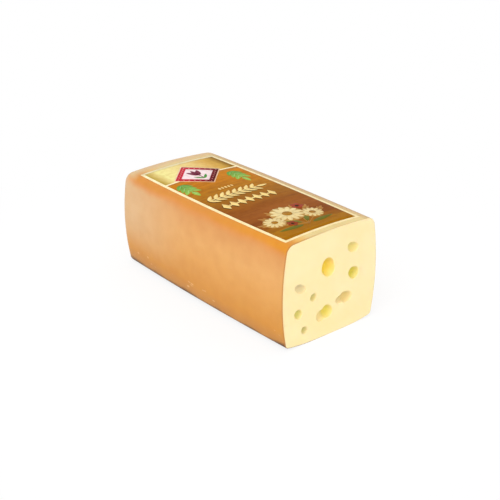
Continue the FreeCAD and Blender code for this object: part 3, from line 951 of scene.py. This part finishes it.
class CHEESE_OT_label_medallion(bpy.types.Operator):
    """Prints the red diamond with a tulip, and a green sprig at each side of it"""

    bl_idname = "cheese.make_label_medallion"
    bl_label = "Medallion"

    PLACE = (39.2, -3.4)  # its middle, along and across the label
    REACH = 27.0  # from its middle to each corner
    HALO = 1.6  # how much further the pale line round it reaches
    MIDDLE = 0.72  # the pale middle's share of its reach
    BEADS = 6  # on each side
    BEAD_LINE = 0.86  # the beads' share of its reach
    BEAD = 0.8  # radius of a bead
    SPRIG = (52.0, 30.5)  # where a green sprig starts along the label, and how far from its middle line

    def execute(self, context):
        colours = context.scene.label_colours
        along, across = self.PLACE
        halo = print_material("pink_cream_ink", [(-80, "FBDCC0"), (-30, "F2C8A0")])
        red = print_material("red_ink", [(-52, colours.crimson), (-28, colours.maroon)], (0.7, 0.7, 0.0))
        blush = print_material("blush_ink", [(-80, colours.blush), (-30, "F4DCE0")])
        for layer, name, ink, reach in (
            (2, "medallion_halo", halo, self.REACH + self.HALO),
            (3, "medallion_rim", red, self.REACH),
            (4, "medallion_middle", blush, self.REACH * self.MIDDLE),
        ):
            Print().diamond(along, across, reach, reach).lay(context, name, ink, layer)

        beads = Print()
        corners = [Vector((1, 0)), Vector((0, 1)), Vector((-1, 0)), Vector((0, -1))]
        for start, end in zip(corners, corners[1:] + corners[:1]):
            for step in range(self.BEADS):
                spot = Vector(self.PLACE) + start.lerp(end, step / self.BEADS) * self.REACH * self.BEAD_LINE
                beads.disc(*spot, self.BEAD, steps=10)
        pink = print_material("bead_ink", [(-80, "F0B8AC"), (-30, "C88078")])
        beads.lay(context, "medallion_beads", pink, 4)

        # The tulip's stem, three petals from its top, and a leaf at each side, and then the two sprigs.
        tulip = Print().block(along + 7.0, across, 12.0, 1.2)
        for turn in (-26, 26, 0):
            tulip.leaf(along + 3.0, across, 15.0, 7.4, 180 + turn)
        plum = print_material("plum_ink", [(-72, "8E3A54"), (-52, "6E2A3C")])
        tulip.lay(context, "medallion_tulip", plum, 5)
        leaves, veins = Print(), Print()
        start, aside = self.SPRIG
        for side in (-1, 1):
            leaves.leaf(along + 13.0, across, 12.0, 4.0, 180 + 40 * side)
            leaves.sprig(start, across + aside * side, 0.0, 3, 6.8, 13.5, 7.4, 40.0)
            veins.sprig(start + 1.0, across + aside * side, 0.0, 3, 6.8, 10.5, 0.9, 40.0)
        green = print_material("leaf_ink", [(-50, colours.leaf_dark), (-20, colours.leaf)])
        leaves.lay(context, "medallion_leaves", green, 5)
        pale = print_material("vein_ink", [(-60, "7CB870"), (-20, "B8DC92")])
        veins.lay(context, "medallion_veins", pale, 6)
        return {"FINISHED"}


class CHEESE_OT_label_friezes(bpy.types.Operator):
    """Prints the two ornamental friezes and the small row of diamonds"""

    bl_idname = "cheese.make_label_friezes"
    bl_label = "Friezes"

    LAUREL = 102.0  # middle of the row of leaves, along the label
    CHAIN = 123.5  # middle of the row of diamonds
    SMALL = 85.0  # middle of the row of small diamonds
    START = -36.5  # where both long rows start, across the label
    DIAMONDS = 7
    SPACING = 9.0  # from diamond to diamond
    SHADOW = 1.2  # how far the dark print under the long rows is moved

    def chain(self, shift):
        """Row of diamonds with a bead between each pair, moved a little to be the shadow of another."""
        row = Print()
        for step in range(self.DIAMONDS):
            across = self.START + 4.0 + self.SPACING * step - shift
            row.diamond(self.CHAIN + shift, across, 7.4, 3.6)
            if step:
                row.disc(self.CHAIN + shift, across - self.SPACING / 2, 1.5, steps=14)
        return row

    def execute(self, context):
        colours = context.scene.label_colours
        gold = print_material("frieze_ink", [(-15, colours.ornament), (40, "F6D88A")])
        dark = print_material("frieze_shadow_ink", [(-15, colours.shadow), (40, "4A2C0C")])
        for name, ink, layer, shift in (("shadow", dark, 2, self.SHADOW), ("gold", gold, 3, 0.0)):
            laurel = Print().sprig(self.LAUREL + shift, self.START - shift, 90.0, 8, 7.2, 12.0, 5.4, 46.0)
            laurel.lay(context, f"laurel_{name}", ink, layer)
            self.chain(shift).lay(context, f"chain_{name}", ink, layer)
        small = Print()
        for step in range(5):
            small.diamond(self.SMALL, -11.0 + 3.7 * step, 2.6, 1.3)
        small.lay(context, "small_diamonds", gold, 2)
        return {"FINISHED"}


class CHEESE_OT_label_bouquet(bpy.types.Operator):
    """Prints a bouquet of daisies, poppies and ears of wheat"""

    bl_idname = "cheese.make_label_bouquet"
    bl_label = "Bouquet"

    KNOT = Vector((202.0, -3.0))  # where the stems meet, along and across the label
    EARS = (-57, -38, -19, 19, 38, 57)  # how far each ear of wheat leans, in degrees
    LEAVES = (-84, 84, -33, 33)  # how far each leaf leans
    DAISIES = ((173.0, -3.0, 16.0), (181.0, -25.0, 10.5), (184.0, 18.0, 10.5))  # along, across and reach
    POPPIES = ((164.5, 16.5, 6.5), (193.0, -14.5, 5.5))
    HEART = 0.3  # a flower's middle's share of its reach

    def spot(self, lean, distance):
        """Place at a distance from the knot, up a stem that leans."""
        return self.KNOT - Vector((math.cos(math.radians(lean)), math.sin(math.radians(lean)))) * distance

    def execute(self, context):
        colours = context.scene.label_colours
        wheat, leaves, shades, petals, hearts, poppies, middles = (Print() for _ in range(7))
        for lean in self.EARS:
            wheat.block(*self.spot(lean, 9), 20.0, 0.9, lean)
            wheat.sprig(*self.spot(lean, 17), 180 + lean, 6, 3.6, 8.0, 4.0, 24.0)
        for lean in self.LEAVES:
            leaves.leaf(*self.spot(lean, 6), 27.0, 7.5, 180 + lean)
        for along, across, reach in self.DAISIES:
            shades.disc(along + 0.8, across - 0.8, reach * 1.02)
            petals.daisy(along, across, reach, 13)
            hearts.disc(along, across, reach * self.HEART)
        for along, across, reach in self.POPPIES:
            poppies.daisy(along, across, reach, 5)
            middles.disc(along, across, reach * self.HEART, steps=14)
        for layer, name, shapes, ink, near, near_shade, far, far_shade in (
            (2, "wheat", wheat, "wheat_ink", 50, colours.wheat, 105, "B07C3A"),
            (3, "bouquet_leaves", leaves, "olive_ink", 60, colours.olive, 105, "6E6E2A"),
            (4, "daisy_shades", shades, "daisy_shades_ink", 55, "C89E58", 105, "B88A48"),
            (5, "daisy_petals", petals, "daisy_petals_ink", 55, "F2E0A8", 105, "E8CE90"),
            (6, "daisy_hearts", hearts, "daisy_hearts_ink", 55, "B9862F", 105, "A06C20"),
            (7, "poppies", poppies, "poppy_ink", 60, colours.poppy, 105, "98421E"),
            (8, "poppy_middles", middles, "dark_ink", 60, "3A2418", 105, "4A2C1C"),
        ):
            material = print_material(ink, [(near, near_shade), (far, far_shade)])
            shapes.lay(context, name, material, layer)
        return {"FINISHED"}


# ---------------------------------------------------------------------------------------------------------
# Stage


class CHEESE_OT_stage(bpy.types.Operator):
    """Makes the floor, the lights and the camera"""

    bl_idname = "cheese.make_stage"
    bl_label = "Stage"

    LAMP_PLACE = Vector((1.10, -1.50, 2.10))
    LAMP_TARGET = Vector((0.0, 0.0, 0.05))
    LAMP_SIZE = 1.8
    CAMERA_PLACE = Vector((0.69153, -0.54979, 0.43605))
    CAMERA_TARGET = Vector((0.01018, 0.00485, 0.04027))
    CAMERA_ROLL = math.radians(-0.32)
    LENS, SENSOR = 71.489, 36.0  # the camera's, in millimetres

    def execute(self, context):
        scene = context.scene
        settings = scene.stage_settings
        self.make_floor(scene, settings)
        self.make_world(scene, settings)
        self.make_lamp(scene, settings)
        self.make_camera(scene)
        scene.view_settings.view_transform = "Standard"
        return {"FINISHED"}

    @staticmethod
    def seen(tree):
        """Share of 1 for what the camera sees, straight, mirrored or through something clear; else 0."""
        rays = add(tree, "ShaderNodeLightPath").outputs
        seen = rays["Is Camera Ray"]
        for ray in ("Is Glossy Ray", "Is Transmission Ray"):
            seen = add(tree, "ShaderNodeMath", {"operation": "MAXIMUM"}, {0: seen, 1: rays[ray]}).outputs[0]
        return seen

    def make_floor(self, scene, settings):
        """White floor that shows only a share of the shadow on it."""
        bm = bmesh.new()
        bmesh.ops.create_grid(bm, x_segments=1, y_segments=1, size=settings.floor / 2)
        mesh = bpy.data.meshes.new("floor")
        bm.to_mesh(mesh)
        bm.free()
        floor = bpy.data.objects.new("floor", mesh)
        scene.collection.objects.link(floor)
        material, tree, surface = start_material("white_paper", {"Roughness": 0.9})
        surface.inputs["Base Color"].default_value = linear("FFFFFF")
        glow = add(tree, "ShaderNodeEmission", inputs={"Color": linear("FFFFFF"), "Strength": 1.0})
        place = add(tree, "ShaderNodeTexCoord").outputs["Object"]
        distance = add(tree, "ShaderNodeVectorMath", {"operation": "LENGTH"}, {0: place}).outputs["Value"]
        sockets = {"Value": distance, "From Min": settings.shadow_near, "From Max": settings.shadow_far}
        plain = add(tree, "ShaderNodeMapRange", EASED, {**sockets, "To Min": 1 - settings.shadow}).outputs[0]
        sockets = {0: self.seen(tree), 1: plain}
        share = add(tree, "ShaderNodeMath", {"operation": "MULTIPLY"}, sockets).outputs[0]
        sockets = {0: share, 1: surface.outputs[0], 2: glow.outputs[0]}
        mixed = add(tree, "ShaderNodeMixShader", inputs=sockets).outputs[0]
        tree.links.new(mixed, tree.nodes["Material Output"].inputs["Surface"])
        mesh.materials.append(material)

    def make_world(self, scene, settings):
        """White all round, and plain soft light from it."""
        world = bpy.data.worlds.new("white_room")
        world.use_nodes = True
        tree = world.node_tree
        sockets = {"Value": self.seen(tree), "To Min": settings.world, "To Max": 1.0}
        strength = add(tree, "ShaderNodeMapRange", inputs=sockets)
        background = tree.nodes["Background"]
        background.inputs["Color"].default_value = linear("FFFFFF")
        tree.links.new(strength.outputs[0], background.inputs["Strength"])
        scene.world = world

    def make_lamp(self, scene, settings):
        """Large soft lamp that looks at the loaf."""
        lamp = bpy.data.lights.new("key_light", "AREA")
        lamp.energy = settings.key
        lamp.size = self.LAMP_SIZE
        holder = bpy.data.objects.new("key_light", lamp)
        holder.location = self.LAMP_PLACE
        holder.rotation_euler = (self.LAMP_TARGET - self.LAMP_PLACE).to_track_quat("-Z", "Y").to_euler()
        scene.collection.objects.link(holder)

    def make_camera(self, scene):
        """Camera that looks down at the cut end and one long side."""
        lens = bpy.data.cameras.new("camera")
        lens.sensor_width = self.SENSOR
        lens.lens = self.LENS
        camera = bpy.data.objects.new("camera", lens)
        back = (self.CAMERA_PLACE - self.CAMERA_TARGET).normalized()
        right = Vector((0, 0, 1)).cross(back).normalized()
        up = back.cross(right)
        turned = Matrix((right, up, back)).transposed() @ Matrix.Rotation(self.CAMERA_ROLL, 3, "Z")
        camera.matrix_world = Matrix.Translation(self.CAMERA_PLACE) @ turned.to_4x4()
        scene.collection.objects.link(camera)
        scene.camera = camera


class CHEESE_PT_loaf(bpy.types.Panel):
    """Lists the pieces, and the sizes and colours behind them"""

    bl_idname = "CHEESE_PT_loaf"
    bl_label = "Smoked cheese loaf"
    bl_space_type = "VIEW_3D"
    bl_region_type = "UI"
    bl_category = "Cheese"

    def draw(self, context):
        for operator in OPERATORS:
            self.layout.operator(operator.bl_idname)
        for name in GROUPS:
            group = getattr(context.scene, name)
            box = self.layout.box()
            for key in group.__annotations__:
                box.prop(group, key)


OPERATORS = (
    CHEESE_OT_rind,
    CHEESE_OT_paste,
    CHEESE_OT_label_film,
    CHEESE_OT_label_medallion,
    CHEESE_OT_label_friezes,
    CHEESE_OT_label_bouquet,
    CHEESE_OT_stage,
)
GROUPS = {
    "loaf_sizes": LoafSizes,
    "loaf_colours": LoafColours,
    "label_sizes": LabelSizes,
    "label_colours": LabelColours,
    "stage_settings": StageSettings,
}


def register():
    """Adds the settings, the operators and the panel."""
    for name, group in GROUPS.items():
        bpy.utils.register_class(group)
        setattr(bpy.types.Scene, name, PointerProperty(type=group))
    for item in (*OPERATORS, CHEESE_PT_loaf):
        bpy.utils.register_class(item)


def unregister():
    """Takes them away again."""
    for item in (CHEESE_PT_loaf, *reversed(OPERATORS)):
        bpy.utils.unregister_class(item)
    for name, group in reversed(GROUPS.items()):
        delattr(bpy.types.Scene, name)
        bpy.utils.unregister_class(group)


def main():
    """Makes every piece in order."""
    register()
    for operator in OPERATORS:
        family, name = operator.bl_idname.split(".")
        getattr(getattr(bpy.ops, family), name)()


if __name__ == "__main__":
    main()
